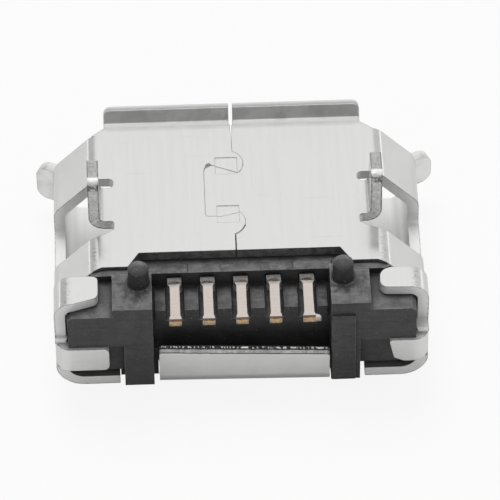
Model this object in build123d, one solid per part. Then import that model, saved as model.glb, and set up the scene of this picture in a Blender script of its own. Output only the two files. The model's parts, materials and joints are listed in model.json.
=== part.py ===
from build123d import *
import os
from math import asin, cos, radians, sin, tan

# A five contact micro USB socket for a circuit board. All sizes are in millimetres.
# The origin lies on the board plane, midway between the two locating pegs.
# +Z points at the board, +Y points out of the mouth, and +X is to the right seen from the solder end.

# Folded sheet shell
sheet = 0.22
mouth_width = 6.90
mouth_height = 1.85
mouth_narrow_width = 5.56
mouth_side_height = 1.12
plate_bend = 0.10
cheek_bend = 0.15
floor_bend = 0.34
shell_length = 4.61
side_rear_y = -0.62

# Board side plate: the middle of its rear edge is cut back further than its outer parts
plate_rear_mid_y = 0.75
plate_rear_mid_half = 1.98
plate_rear_outer_y = 0.39
plate_rear_outer_half = 2.20
plate_rear_step = 0.50
cheek_rear_y = 0.30
cheek_start_x = 2.93
cheek_slit_z = -0.92

# Flared lips round the mouth
lip_start = 0.21
lip_angle = 65
lip_bend = 0.12
lip_length = 0.25
lip_half = 2.58
lip_middle_x = -0.04
lip_corner = 0.14
lip_gusset = 0.25
floor_lip_half = 2.60
ear_length = 0.33
ear_top_z = -1.29
ear_left_low_z = -2.14
ear_right_low_z = -2.01
ear_corner = 0.24
lip_split = 0.08

# Dovetail seam in the board side plate
seam_x = -0.06
seam_gap = 0.03
dovetail_left = -0.64
dovetail_rear_y = 1.68
dovetail_front_y = 3.06
dovetail_flank = 0.20
dovetail_flank_start = 0.30
dovetail_rear_corner = 0.05
dovetail_front_corner = (0.18, 0.12)
dovetail_front_swell = 0.02
dovetail_hollow = ((-0.65, 2.96), (-0.61, 3.09), (-0.56, 3.15), (-0.50, 3.16), (-0.45, 3.11), (-0.50, 3.07))
bump_reach = 0.21
bump_length = 0.60
rear_bump_belly = 0.35
front_bump_belly = 0.30
stake_left_x = -0.41
stake_rear_ys = (1.50, 2.83)
stake_width = 0.44
stake_length = 0.46
stake_depth = 0.015

# Board legs, bent up out of the cheeks, and the windows that they leave
leg_rear_y = 1.63
leg_front_y = 2.54
leg_top_z = 1.13
leg_top_length = 0.61
leg_taper_start_z = 0.35
leg_left_outer_x = 2.95
leg_right_outer_x = 2.85
leg_bend = 0.10
leg_tip_round = 0.10
window_rear_y = 1.20
window_front_y = 2.72
window_floor_z = -1.40
window_corner = 0.12
slot_left_end_x = 2.45
slot_right_end_x = 2.41
slot_front_y = 2.79
slot_front_steps = (2.73, 2.81)
slot_end_round = 0.10
slot_rear_run = ((2.83, 1.20), (2.65, 1.28))
slot_rear_end_y = 1.41
rear_slot_round = 0.06

# Clamping tabs over the housing and hooks behind it
tab_left_end_x = 2.80
tab_right_end_x = 2.72
tab_front_y = 0.16
tab_rear_left_y = -0.56
tab_rear_right_y = -0.37
tab_left_slant = 0.16
tab_right_slant = 0.02
tab_bend = 0.15
tab_corner = 0.15
tab_left_front_corner = 0.12
tab_right_front_corner = 0.24
hook_low_z = -1.70
hook_high_z = -1.10
hook_left_end_x = 2.62
hook_right_end_x = 2.88
hook_right_slant = 0.10
hook_bend = 0.10
hook_corner = 0.12
hook_relief = 0.06

# Rear flap, bent up from the wide plate
flap_left_x = -1.635
flap_right_x = 1.715
flap_face_y = -0.81
flap_left_top_z = -1.27
flap_right_top_z = -1.39
flap_bend = 0.15
flap_skew = 1.0
flap_corner = 0.06

# Latch holes in the wide plate for the hooks of a plug
latch_spacing = 4.00
latch_width = 0.90
latch_length = 0.70
latch_from_front = 1.30
latch_corner = 0.08

# Black moulded housing
fit = 0.02
housing_rear_y = -0.73
housing_front_y = 1.17
pad_top_z = -0.04
pad_inner_x = 1.745
pad_outer_x = 2.52
pad_front_y = 0.22
ledge_drop = 0.04
ledge_outer_x = 2.96
ledge_corner = 0.12
shoulder_edge = 0.08
bar_low_z = -1.09
lower_face_setback = 0.18
foot_outer_x = 2.32
foot_depth = 0.75
foot_chamfer = 0.05
foot_gap = 0.10
foot_web_rear_y = -0.45
foot_web_top_z = -1.50
raised_foot = 0.05
raised_foot_low_z = -2.20
raised_foot_top_z = -0.37
raised_foot_inset = 0.02
raised_foot_outer_x = 2.22
rib_rear_y = 0.40
rib_notch_x = 1.03
rib_notch_width = 0.03
rib_notch_depth = 0.02
rib_notch_from_rear = 0.16
rib_under_plate = 0.44
recess_floor_z = -0.60
recess_wall_y = -0.26
comb_width = 0.275
comb_end_outer = 1.69
comb_slope_drop = 0.30

# Locating pegs
peg_spacing = 4.00
peg_diameter = 0.41
peg_root_diameter = 0.50
peg_root_height = 0.16
peg_height = 0.50
peg_dome = 0.11

# Tongue inside the mouth
tongue_width = 3.50
tongue_thickness = 0.60
tongue_clear_of_wide_plate = 0.45
tongue_setback = 0.52
tongue_tip_chamfer = 0.12

# Contacts
contact_count = 5
contact_pitch = 0.65
contact_thickness = 0.20
contact_bend = 0.06
tail_width = 0.22
tail_end_width = 0.26
tail_end_length = 0.10
root_width = 0.28
root_step = 0.04
blade_width = 0.36
blade_step = 0.10
blade_stands_proud = 0.05
blade_tip_gap = 0.15
tail_end_y = -1.04
tail_flat_y = -0.16
root_top_z = -0.39
drop_start_y = 0.62
drop_end_y = 0.98
burr_plan = ((-0.05, 0.00), (0.10, 0.02), (0.07, 0.07), (-0.05, 0.12))
burr_top_z = -0.07

# How far a cutting solid runs past what it cuts
overrun = 1.0

# Levels and places that follow from the sizes above
front_edge_y = side_rear_y + shell_length
lip_root_y = front_edge_y + lip_start
tongue_tip_y = front_edge_y - tongue_setback
shell_height = mouth_height + 2 * sheet
shell_half = mouth_width / 2 + sheet
ceiling_z = -sheet
floor_z = -shell_height + sheet
mid_sheet = sheet / 2
tongue_low_z = floor_z + tongue_clear_of_wide_plate
tongue_top_z = tongue_low_z + tongue_thickness
blade_top_z = tongue_top_z + blade_stands_proud
housing_half = mouth_width / 2 - 2 * fit
shoulder_z = ceiling_z - fit
comb_gap = contact_pitch - comb_width


def section(points, bend_radius, thickness):
    """Section of a strip that follows the middle line given, with each corner bent to an inner radius."""
    middle = FilletPolyline(*points, radius=bend_radius + thickness / 2)
    return trace(middle, line_width=thickness)


def across(sketch, low_x, high_x):
    """Solid from a sketch of (y, z), between two places along X."""
    return extrude(Plane.YZ.offset(low_x) * sketch, amount=high_x - low_x)


def along(sketch, low_y, high_y):
    """Solid from a sketch of (x, z), between two places along Y."""
    return extrude(Plane.XZ.offset(-high_y) * sketch, amount=high_y - low_y)


def upright(sketch, low_z, high_z):
    """Solid from a sketch of (x, y), between two heights."""
    return extrude(Plane.XY.offset(low_z) * sketch, amount=high_z - low_z)


def block(low, high):
    """Plain block between two corners."""
    size = [high[axis] - low[axis] for axis in range(3)]
    centre = [(high[axis] + low[axis]) / 2 for axis in range(3)]
    return Pos(*centre) * Box(*size)


def outline(points):
    """Flat face inside a closed outline."""
    return make_face(Polyline(*points, close=True))


def corners_at(sketch, places):
    """Corners of a sketch that lie at the places given."""
    reach = sheet / 10
    found = []
    for corner in sketch.vertices():
        if any((corner.X - x) ** 2 + (corner.Y - z) ** 2 < reach ** 2 for x, z in places):
            found.append(corner)
    return found


def mouth_face():
    """Clear opening of the mouth: wide plate below, narrow board side above, sloped cheeks between."""
    narrow = mouth_narrow_width / 2
    wide = mouth_width / 2
    side_z = floor_z + mouth_side_height
    right = [(narrow, ceiling_z), (wide, side_z), (wide, floor_z)]
    left = [(-x, z) for x, z in reversed(right)]
    face = outline(right + left)
    face = fillet(corners_at(face, [(-narrow, ceiling_z), (narrow, ceiling_z)]), plate_bend)
    face = fillet(corners_at(face, [(-wide, side_z), (wide, side_z)]), cheek_bend)
    return fillet(corners_at(face, [(-wide, floor_z), (wide, floor_z)]), floor_bend)


def flare(half_width, length, corner, root_y):
    """Lip that turns outward from a wall whose outer face is the level z = 0."""
    slope = (cos(radians(lip_angle)), sin(radians(lip_angle)))
    setback = (lip_bend + mid_sheet) * tan(radians(lip_angle / 2))
    turn_y = lip_root_y + setback
    reach = setback + length
    points = [(root_y, -mid_sheet), (turn_y, -mid_sheet)]
    points.append((turn_y + slope[0] * reach, -mid_sheet + slope[1] * reach))
    strip = across(section(points, lip_bend, sheet), -half_width, half_width)
    end_face = strip.faces().sort_by(Axis.Z)[-1]
    corners = end_face.edges().sort_by(SortBy.LENGTH)[:2]
    return fillet(corners, corner)


def gusset(start_x, side, level):
    """Small web that joins the end of a lip to the front edge of its plate."""
    points = [(start_x, front_edge_y), (start_x + side * lip_gusset, front_edge_y), (start_x, lip_root_y)]
    return upright(outline(points), level - sheet, level)


def lips():
    """Four flared lips: board side, wide plate and the two ears at the sides."""
    root_y = front_edge_y - sheet
    board_lip = flare(lip_half, lip_length, lip_corner, root_y)
    floor_lip = flare(floor_lip_half, lip_length, lip_corner, root_y)
    parts = [Pos(lip_middle_x, 0, 0) * board_lip]
    parts.append(Pos(0, 0, -shell_height) * Rot(0, 180, 0) * floor_lip)
    for side in (-1, 1):
        low_z = ear_right_low_z if side > 0 else ear_left_low_z
        ear = flare((ear_top_z - low_z) / 2, ear_length, ear_corner, root_y)
        parts.append(Pos(side * shell_half, 0, (ear_top_z + low_z) / 2) * Rot(0, side * 90, 0) * ear)
        parts.append(gusset(lip_middle_x + side * lip_half, side, 0))
        parts.append(gusset(side * floor_lip_half, side, floor_z))
    return parts


def dovetail_path():
    """Line of the seam, from the rear edge of the board side plate to the mouth."""
    rear = dovetail_rear_y
    front = dovetail_front_y
    left = dovetail_left
    # Rear bump
    bump_start = rear + dovetail_flank / 2 - bump_length
    bump_end = (seam_x + bump_reach / 2, rear + dovetail_flank / 2)
    bump_side = (seam_x + bump_reach, bump_start + rear_bump_belly)
    lines = Line((seam_x, plate_rear_mid_y - overrun), (seam_x, bump_start))
    lines += ThreePointArc((seam_x, bump_start), bump_side, bump_end)
    # Tongue that reaches to the left
    round_x, round_y = dovetail_front_corner
    swell_y = front + dovetail_front_swell
    front_bump_start = (seam_x + bump_reach / 2, front - dovetail_flank)
    points = [bump_end, (left + dovetail_flank_start, rear), (left + dovetail_rear_corner, rear)]
    points += [(left, rear + dovetail_rear_corner), (left, swell_y - round_y)]
    points += [(left + round_x, swell_y), front_bump_start]
    lines += Polyline(*points)
    # Front bump
    bump_end_y = front - dovetail_flank + bump_length
    bump_side = (seam_x + bump_reach, bump_end_y - front_bump_belly)
    lines += ThreePointArc(front_bump_start, bump_side, (seam_x, bump_end_y))
    lines += Line((seam_x, bump_end_y), (seam_x, lip_root_y + overrun))
    return lines


def seam_cut():
    """Fine gap along the dovetail seam, wider where it splits the board side lip."""
    gap = upright(trace(dovetail_path(), line_width=seam_gap), ceiling_z - fit, fit)
    gap += upright(outline(dovetail_hollow), ceiling_z - fit, fit)
    split_low = (seam_x - lip_split / 2, lip_root_y, ceiling_z - fit)
    split_high = (seam_x + lip_split / 2, lip_root_y + overrun, overrun)
    return gap + block(split_low, split_high)


def stake_marks():
    """Two shallow punch marks that lock the seam."""
    marks = []
    for rear_y in stake_rear_ys:
        low = (stake_left_x, rear_y, -stake_depth)
        marks.append(block(low, (stake_left_x + stake_width, rear_y + stake_length, fit)))
    return marks


def rear_plan_cut():
    """What is cut away behind the board side plate and the cheeks."""
    far_x = shell_half + overrun
    far_y = side_rear_y - overrun
    step_x = plate_rear_outer_half + plate_rear_step
    right = [(far_x, far_y), (far_x, cheek_rear_y), (cheek_start_x, cheek_rear_y)]
    right += [(step_x, plate_rear_outer_y), (plate_rear_outer_half, plate_rear_outer_y)]
    right += [(plate_rear_mid_half, plate_rear_mid_y)]
    left = [(-x, y) for x, y in reversed(right)]
    return upright(outline(right + left), cheek_slit_z, overrun)


def window_cut(leg_outer_x, slot_end_x):
    """Window through a right cheek and side wall, with the relief slots beside its board leg."""
    bend_x = leg_outer_x - sheet - leg_bend
    slot_rear_corner = (slot_end_x, slot_rear_end_y)
    far_x = shell_half + overrun
    step_x, window_x = slot_front_steps
    points = [(far_x, window_rear_y)] + list(slot_rear_run)
    points += [slot_rear_corner, (slot_end_x, leg_rear_y), (bend_x, leg_rear_y), (bend_x, leg_front_y)]
    points += [(slot_end_x, leg_front_y), (slot_end_x, slot_front_y), (step_x, slot_front_y)]
    points += [(window_x, window_front_y), (far_x, window_front_y)]
    plan = outline(points)
    front_ends = corners_at(plan, [(slot_end_x, leg_front_y), (slot_end_x, slot_front_y)])
    plan = fillet(front_ends, slot_end_round)
    rear_ends = corners_at(plan, [(slot_end_x, leg_rear_y), slot_rear_corner])
    plan = fillet(rear_ends, rear_slot_round)
    side = outline([(window_rear_y, overrun), (window_rear_y, window_floor_z),
                    (window_front_y, window_floor_z), (window_front_y, overrun)])
    low_corners = corners_at(side, [(window_rear_y, window_floor_z), (window_front_y, window_floor_z)])
    side = fillet(low_corners, window_corner)
    slots = outline([(window_rear_y, overrun), (window_rear_y, -2 * sheet),
                     (slot_front_y, -2 * sheet), (slot_front_y, overrun)])
    return upright(plan, window_floor_z, overrun) & across(side + slots, 0, far_x)


def board_leg(leg_outer_x, slot_end_x):
    """Right board leg, bent up from the edge of the board side plate and tapered at its tip."""
    middle_x = leg_outer_x - mid_sheet
    points = [(slot_end_x, -mid_sheet), (middle_x, -mid_sheet), (middle_x, leg_top_z)]
    strip = along(section(points, leg_bend, sheet), leg_rear_y, leg_front_y)
    tip_front_y = leg_rear_y + leg_top_length
    side = outline([(leg_rear_y, -overrun), (leg_rear_y, leg_top_z), (tip_front_y, leg_top_z),
                    (leg_front_y, leg_taper_start_z), (leg_front_y, -overrun)])
    tip = corners_at(side, [(leg_rear_y, leg_top_z), (tip_front_y, leg_top_z)])
    side = fillet(tip, leg_tip_round)
    return strip & across(side, 0, shell_half)


def clamp_tab(end_x, rear_y, slant, front_corner):
    """Right clamping tab: the side wall runs up and bends flat over the shoulder of the housing."""
    middle_x = shell_half - mid_sheet
    points = [(middle_x, cheek_slit_z - sheet), (middle_x, -mid_sheet), (end_x, -mid_sheet)]
    strip = along(section(points, tab_bend, sheet), rear_y, tab_front_y)
    bend_x = shell_half - sheet - tab_bend
    plan = outline([(end_x, rear_y + slant), (end_x, tab_front_y), (shell_half, tab_front_y),
                    (shell_half, rear_y), (bend_x, rear_y)])
    plan = fillet(corners_at(plan, [(end_x, rear_y + slant)]), tab_corner)
    plan = fillet(corners_at(plan, [(end_x, tab_front_y)]), front_corner)
    return strip & upright(plan, -shell_height, fit)


def hook_middle_y():
    """Place along Y of the middle of a hook's sheet, just behind the lower face of the housing."""
    return housing_rear_y + lower_face_setback - fit - mid_sheet


def hook(end_x, slant):
    """Right hook: the side wall bends in behind the housing, under its cross bar."""
    middle_x = shell_half - mid_sheet
    middle_y = hook_middle_y()
    straight_y = middle_y + hook_bend + mid_sheet
    points = [(middle_x, straight_y + sheet), (middle_x, middle_y), (end_x, middle_y)]
    strip = upright(section(points, hook_bend, sheet), hook_low_z, hook_high_z)
    end = [(end_x, hook_high_z), (end_x + slant, hook_low_z + slant)]
    low = [(end_x + 3 * slant, hook_low_z)] if slant else []
    face = outline(end + low + [(shell_half, hook_low_z), (shell_half, hook_high_z)])
    face = fillet(corners_at(face, end), hook_corner if not slant else hook_corner / 2)
    return strip & along(face, middle_y - overrun, straight_y + overrun)


def hook_relief_cut():
    """What is cut out of a right side wall so that its hook can bend."""
    straight_y = hook_middle_y() + hook_bend + mid_sheet
    low = (shell_half - 2 * sheet, side_rear_y - overrun, hook_low_z - hook_relief)
    return block(low, (shell_half + overrun, straight_y, hook_high_z + hook_relief))


def flap():
    """Rear flap: the middle of the wide plate bends up behind the housing."""
    middle_y = flap_face_y + mid_sheet
    low_z = -shell_height + mid_sheet
    high_z = max(flap_left_top_z, flap_right_top_z)
    points = [(flap_base_y() + 2 * sheet, low_z), (middle_y, low_z), (middle_y, high_z)]
    strip = across(section(points, flap_bend, sheet), flap_left_x, flap_right_x)
    face = outline([(flap_left_x, -shell_height - overrun), (flap_left_x, flap_left_top_z),
                    (flap_right_x, flap_right_top_z), (flap_right_x, -shell_height - overrun)])
    top = corners_at(face, [(flap_left_x, flap_left_top_z), (flap_right_x, flap_right_top_z)])
    face = fillet(top, flap_corner)
    shaped = strip & along(face, middle_y - overrun, flap_base_y() + overrun)
    pivot = Pos(0, middle_y, 0)
    return pivot * Rot(0, 0, -flap_skew) * pivot.inverse() * shaped


def flap_base_y():
    """Place along Y where the wide plate starts to bend into the flap."""
    return flap_face_y + flap_bend + sheet


def floor_cuts():
    """Notches in the wide plate for the feet of the housing, its flap and the latch holes."""
    low_z = -shell_height - overrun
    high_z = floor_z + fit
    notch_outer = foot_outer_x + foot_gap
    notch_front = housing_rear_y + foot_depth + foot_gap
    rear_y = side_rear_y - overrun
    cuts = [block((-notch_outer, rear_y, low_z), (notch_outer, flap_base_y(), high_z))]
    for side in (-1, 1):
        inner = flap_right_x if side > 0 else -flap_left_x
        xs = sorted((side * inner, side * notch_outer))
        cuts.append(block((xs[0], rear_y, low_z), (xs[1], notch_front, high_z)))
        hole = Pos(side * latch_spacing / 2, front_edge_y - latch_from_front - latch_length / 2)
        hole_face = hole * RectangleRounded(latch_width, latch_length, latch_corner)
        cuts.append(upright(hole_face, low_z, high_z))
    return cuts


def mirrored(solid):
    """The same piece on the other side."""
    return mirror(solid, about=Plane.YZ)


def make_shell():
    """Whole folded shell, one piece of sheet."""
    clear = mouth_face()
    tube = along(offset(clear, sheet) - clear, side_rear_y, front_edge_y)
    tube -= rear_plan_cut()
    tube -= window_cut(leg_right_outer_x, slot_right_end_x)
    tube -= mirrored(window_cut(leg_left_outer_x, slot_left_end_x))
    tube -= hook_relief_cut()
    tube -= mirrored(hook_relief_cut())
    for cut in floor_cuts():
        tube -= cut
    for lip in lips():
        tube += lip
    tube += board_leg(leg_right_outer_x, slot_right_end_x)
    tube += mirrored(board_leg(leg_left_outer_x, slot_left_end_x))
    tube += clamp_tab(tab_right_end_x, tab_rear_right_y, tab_right_slant, tab_right_front_corner)
    tube += mirrored(clamp_tab(tab_left_end_x, tab_rear_left_y, tab_left_slant, tab_left_front_corner))
    tube += hook(hook_right_end_x, hook_right_slant)
    tube += mirrored(hook(hook_left_end_x, 0))
    tube += flap()
    tube -= seam_cut()
    for mark in stake_marks():
        tube -= mark
    return tube


def foot_webs():
    """Webs beside the feet that close their notches in the wide plate. The right one lies inside only."""
    front_y = housing_rear_y + foot_depth
    low_z = foot_chamfer - shell_height
    webs = []
    for side in (-1, 1):
        inner_x = (flap_right_x if side > 0 else -flap_left_x) + fit
        outer_x = foot_outer_x + (0 if side > 0 else foot_gap - fit)
        xs = sorted((side * inner_x, side * outer_x))
        webs.append(block((xs[0], foot_web_rear_y, low_z), (xs[1], front_y, foot_web_top_z)))
    return webs


def peg(side):
    """Locating peg: flared at its root, then straight, with a domed top."""
    radius = peg_diameter / 2
    root = peg_root_diameter / 2
    high = pad_top_z + peg_height
    dome_low_z = high - peg_dome
    dome_radius = (radius ** 2 + peg_dome ** 2) / (2 * peg_dome)
    half_angle = asin(radius / dome_radius) / 2
    dome_middle = (dome_radius * sin(half_angle), high - dome_radius * (1 - cos(half_angle)))
    profile = Polyline((0, high), (0, shoulder_z), (root, shoulder_z), (radius, pad_top_z + peg_root_height),
                       (radius, dome_low_z))
    profile += ThreePointArc((radius, dome_low_z), dome_middle, (0, high))
    body = revolve(Plane.XZ * make_face(profile), axis=Axis.Z)
    return Pos(side * peg_spacing / 2, 0, 0) * body


def contact_middle_line():
    """Middle line of a contact in (y, z), from the solder end to the tip on the tongue."""
    half = contact_thickness / 2
    blade_z = blade_top_z - half
    slope = -root_top_z / (rib_rear_y - tail_flat_y)
    root_z = -half - slope * (drop_start_y - tail_flat_y)
    points = [(tail_end_y, -half), (tail_flat_y, -half), (drop_start_y, root_z)]
    points += [(drop_end_y, blade_z), (tongue_tip_y - blade_tip_gap, blade_z)]
    return points


def contact_solid(clearance):
    """Contact at x = 0, or the room for it where a clearance is given."""
    points = contact_middle_line()
    bend = contact_bend
    profile = section(points, bend, contact_thickness + 2 * clearance)
    half_root = root_width / 2 + clearance
    half_blade = blade_width / 2 + clearance
    half_tail = tail_width / 2 + clearance
    half_end = tail_end_width / 2 + clearance
    end_y = tail_end_y + tail_end_length
    plan = [(half_end, tail_end_y - clearance), (half_tail, end_y), (half_tail, tail_flat_y - root_step)]
    plan += [(half_root, tail_flat_y + root_step), (half_root, drop_start_y - blade_step)]
    plan += [(half_blade, drop_start_y)]
    plan += [(half_blade, tongue_tip_y - blade_tip_gap + clearance)]
    outline_points = plan + [(-x, y) for x, y in reversed(plan)]
    return across(profile, -overrun, overrun) & upright(outline(outline_points), -shell_height, overrun)


def contact_places():
    """Place of each contact along X."""
    middle = (contact_count - 1) / 2
    return [(index - middle) * contact_pitch for index in range(contact_count)]


def make_contact(index):
    """One contact. The last one keeps a small torn burr at its cut end."""
    place = contact_places()[index]
    contact = contact_solid(0)
    if index == contact_count - 1:
        burr = outline([(tail_end_width / 2 + x, tail_end_y + y) for x, y in burr_plan])
        contact += upright(burr, -contact_thickness, burr_top_z)
    return Pos(place, 0, 0) * contact


def housing_core():
    """Part of the housing inside the shell, from the rear edge of the cheeks to the base of the tongue."""
    core_face = offset(mouth_face(), -fit)
    return along(core_face, cheek_rear_y - 2 * fit, housing_front_y)


def rear_block():
    """Rear of the housing: wide cross bar and the set back faces under it."""
    front_y = cheek_rear_y - fit
    bar_face = Pos(0, (bar_low_z + shoulder_z) / 2) * Rectangle(2 * housing_half, shoulder_z - bar_low_z)
    top_corners = corners_at(bar_face, [(-housing_half, shoulder_z), (housing_half, shoulder_z)])
    bar = along(chamfer(top_corners, shoulder_edge), housing_rear_y, front_y)
    below_bar = Pos(0, (bar_low_z - shell_height) / 2) * Rectangle(2 * shell_half, shell_height + bar_low_z)
    lower = along(offset(mouth_face(), -fit) & below_bar, housing_rear_y + lower_face_setback, front_y)
    # The hooks bend round these two edges
    rear_sides = lower.edges().filter_by(Axis.Z).group_by(Axis.Y)[0]
    return bar + chamfer(rear_sides, hook_bend)


def pads():
    """Raised pads at the board side, one round each peg, with the ledges in front of them."""
    parts = []
    ledge_z = pad_top_z - ledge_drop
    for side in (-1, 1):
        xs = sorted((side * pad_inner_x, side * pad_outer_x))
        parts.append(block((xs[0], housing_rear_y, bar_low_z), (xs[1], pad_front_y, pad_top_z)))
        ledge = outline([(side * pad_inner_x, pad_front_y),
                         (side * (ledge_outer_x - ledge_corner), pad_front_y),
                         (side * ledge_outer_x, cheek_rear_y - fit),
                         (side * (plate_rear_outer_half + plate_rear_step), plate_rear_outer_y - fit),
                         (side * pad_inner_x, plate_rear_outer_y - fit)])
        parts.append(upright(ledge, ceiling_z - 2 * fit, ledge_z))
    return parts


def feet():
    """Feet that reach down through the wide plate. The right one stands a little proud."""
    parts = []
    for side in (-1, 1):
        proud = raised_foot if side > 0 else 0
        xs = sorted((side * pad_inner_x, side * foot_outer_x))
        front_y = housing_rear_y + foot_depth
        low = block((xs[0], housing_rear_y, -shell_height), (xs[1], front_y, bar_low_z))
        low = chamfer(low.faces().sort_by(Axis.Z)[0].edges(), foot_chamfer)
        parts.append(low)
        if proud:
            low = (pad_inner_x + raised_foot_inset, housing_rear_y - proud, raised_foot_low_z)
            parts.append(block(low, (raised_foot_outer_x, housing_rear_y + proud, raised_foot_top_z)))
    return parts


def rib():
    """Cross rib that reaches under the board side plate, in front of the contact tails."""
    front_y = plate_rear_mid_y + rib_under_plate
    body = block((-pad_inner_x, rib_rear_y, recess_floor_z), (pad_inner_x, front_y, shoulder_z))
    for x in (-rib_notch_x, rib_notch_x):
        low = (x - rib_notch_width / 2, rib_rear_y + rib_notch_from_rear, shoulder_z - rib_notch_depth)
        body -= block(low, (x + rib_notch_width / 2, plate_rear_mid_y, shoulder_z + fit))
    return body


def recess_cut():
    """Open middle of the housing, behind the rib and above and behind the comb."""
    high_z = pad_top_z + overrun
    low_y = housing_rear_y - overrun
    upper = block((-pad_inner_x, low_y, recess_floor_z), (pad_inner_x, rib_rear_y, high_z))
    lower = block((-pad_inner_x, low_y, -shell_height - overrun), (pad_inner_x, recess_wall_y, high_z))
    return [upper, lower]


def comb_cuts():
    """Sloped slots under the contact tails. What is left between them is the comb."""
    drop_z = recess_floor_z - comb_slope_drop
    open_y = recess_wall_y - overrun
    open_z = recess_floor_z + overrun
    profile = outline([(open_y, open_z), (open_y, drop_z), (recess_wall_y, drop_z),
                       (rib_rear_y, recess_floor_z - fit), (rib_rear_y, open_z)])
    cuts = []
    for place in contact_places():
        cuts.append(across(profile, place - comb_gap / 2, place + comb_gap / 2))
    for side in (-1, 1):
        xs = sorted((side * comb_end_outer, side * pad_inner_x))
        cuts.append(across(profile, xs[0], xs[1]))
    return cuts


def tongue():
    """Tongue that the plug slides over, chamfered at its tip."""
    low = (-tongue_width / 2, housing_front_y - sheet, tongue_low_z)
    body = block(low, (tongue_width / 2, tongue_tip_y, tongue_top_z))
    tip = body.faces().sort_by(Axis.Y)[-1].edges()
    return chamfer(tip, tongue_tip_chamfer)


def make_housing():
    """Black housing, one moulding."""
    body = housing_core() + rear_block()
    for part in pads():
        body += part
    for part in feet():
        body += part
    for cut in recess_cut():
        body -= cut
    for web in foot_webs():
        body += web
    body += rib()
    for cut in comb_cuts():
        body -= cut
    body += tongue()
    for side in (-1, 1):
        body += peg(side)
    room = contact_solid(fit / 2)
    for place in contact_places():
        body -= Pos(place, 0, 0) * room
    return body


os.makedirs("parts", exist_ok=True)
pieces = {"shell": make_shell(), "housing": make_housing()}
for number in range(contact_count):
    pieces[f"contact_{number + 1}"] = make_contact(number)
for name, piece in pieces.items():
    export_step(piece, f"parts/{name}.step")
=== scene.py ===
import bpy
import bmesh
import json
import math
from bpy.props import FloatProperty, FloatVectorProperty, PointerProperty
from mathutils import Matrix, Vector, noise
from mathutils.bvhtree import BVHTree


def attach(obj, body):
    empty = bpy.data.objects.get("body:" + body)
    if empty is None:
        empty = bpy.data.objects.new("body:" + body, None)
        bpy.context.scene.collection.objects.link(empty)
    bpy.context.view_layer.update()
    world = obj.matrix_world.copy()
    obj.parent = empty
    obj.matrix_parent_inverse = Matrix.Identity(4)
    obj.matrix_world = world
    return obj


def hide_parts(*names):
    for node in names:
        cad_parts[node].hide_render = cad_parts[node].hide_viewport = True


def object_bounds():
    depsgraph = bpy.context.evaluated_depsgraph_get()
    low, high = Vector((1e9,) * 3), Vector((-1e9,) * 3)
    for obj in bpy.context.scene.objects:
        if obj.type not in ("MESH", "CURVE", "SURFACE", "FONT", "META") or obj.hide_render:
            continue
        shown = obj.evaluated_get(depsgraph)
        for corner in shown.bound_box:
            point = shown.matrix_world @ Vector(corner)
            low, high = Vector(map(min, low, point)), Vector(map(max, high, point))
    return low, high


bl_info = {
    "name": "Micro USB Socket",
    "version": (1, 0, 0),
    "blender": (4, 5, 0),
    "location": "View3D > Sidebar > Socket",
    "description": "Dresses the frame of a board mounted micro USB socket and sets up its studio",
    "category": "Object",
}

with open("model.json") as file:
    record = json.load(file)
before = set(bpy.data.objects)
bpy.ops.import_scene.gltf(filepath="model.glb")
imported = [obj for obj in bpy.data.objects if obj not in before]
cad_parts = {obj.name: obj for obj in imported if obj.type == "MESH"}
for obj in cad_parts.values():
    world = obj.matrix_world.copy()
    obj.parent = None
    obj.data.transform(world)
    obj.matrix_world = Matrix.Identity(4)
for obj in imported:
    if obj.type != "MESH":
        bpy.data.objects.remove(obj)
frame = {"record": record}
cad_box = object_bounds()
finishes = {entry["slot"]: entry for entry in frame["record"]["materials"]}
slot_of = {entry["node"]: entry["material_slot"] for entry in frame["record"]["subparts"]}
contact_nodes = sorted(name for name in slot_of if name.startswith("contact_"))

MM = 0.001

# Places on the socket in millimetres: x from its middle, y from the pegs towards the mouth, z up to the
# board plane. A pair is a span from low to high.
BOARD_FACE = -0.05            # the face of the plate that meets the board lies above this height
BOARD_SIDE = -0.3             # the plate and the legs lie above this one
PLATE_SIDE = 2.9
PLATE_REAR = (0.25, 0.85)     # the plate's rear edge, in the shade of the housing
LIP_START = 3.9
LIP_TURN = (3.96, 4.06)       # where the sheet turns outwards into the lips
LEG_INNER = 2.4
LEG_SPAN = (1.5, 2.65)
FLAP_FACE = -0.55             # the rear flap lies behind this
FLAP_SIDE = 1.75
SEAM_SIDE = 0.9
SEAM_SPAN = (0.76, 3.98)
SEAM_GAP = 0.05               # wider gaps aren't the seam
SEAM_LOOSE_END = 1.42         # up to here the seam stands open, and from here it is pressed together
SEAM_SHEET = (-0.19, -0.03)   # heights inside the sheet's thickness
HOLLOW_X = (-0.67, -0.44)     # the rounded hollow at the seam's inner corner
HOLLOW_Y = (2.93, 3.19)
HOLLOW_MIDDLE = (-0.575, 3.085)
TAIL_START = -0.1             # the tails lie behind this, and their cut ends behind the next
TAIL_END = -0.94
TAIL_SIDE = 0.16
SCORED_LINES = (-1.03, 1.03, 1.80)

# How far a point at the seam moves, as a share of the gap, or of the way to the hollow's middle
LOOSE_SHARE = 0.06
PRESSED_SHARE = 0.42
HOLLOW_SHARE = 0.3

# Lengths in metres
OFF_FACE = 1e-6               # a ray starts this far off its own face
SAME_POINT = 2e-7             # points nearer than this are joined

# Angles in radians
FLAT = math.radians(0.8)      # faces that bend less than this are one flat
SHARP = math.radians(38)      # an edge that bends more than this stays sharp
FOLD = 0.7                    # a fold of the sheet bends by less than this from face to face

SKIN_DEPTH = (0.7, 1.25)      # how deep the other side lies under a face of the sheet, in its thickness
PASSES = 9                    # rounds of splitting the long edges
WARP_SEED = 7                 # without a seed of its own the vector noise differs from run to run

# The focal length in pixels, and how far the picture's middle lies to the right of and above the
# direction that the camera's turn and tilt give
FOCAL_PIXELS = 4544.9
PICTURE_RIGHT = 8.689
PICTURE_UP = 132.915


# What a user may change

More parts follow.
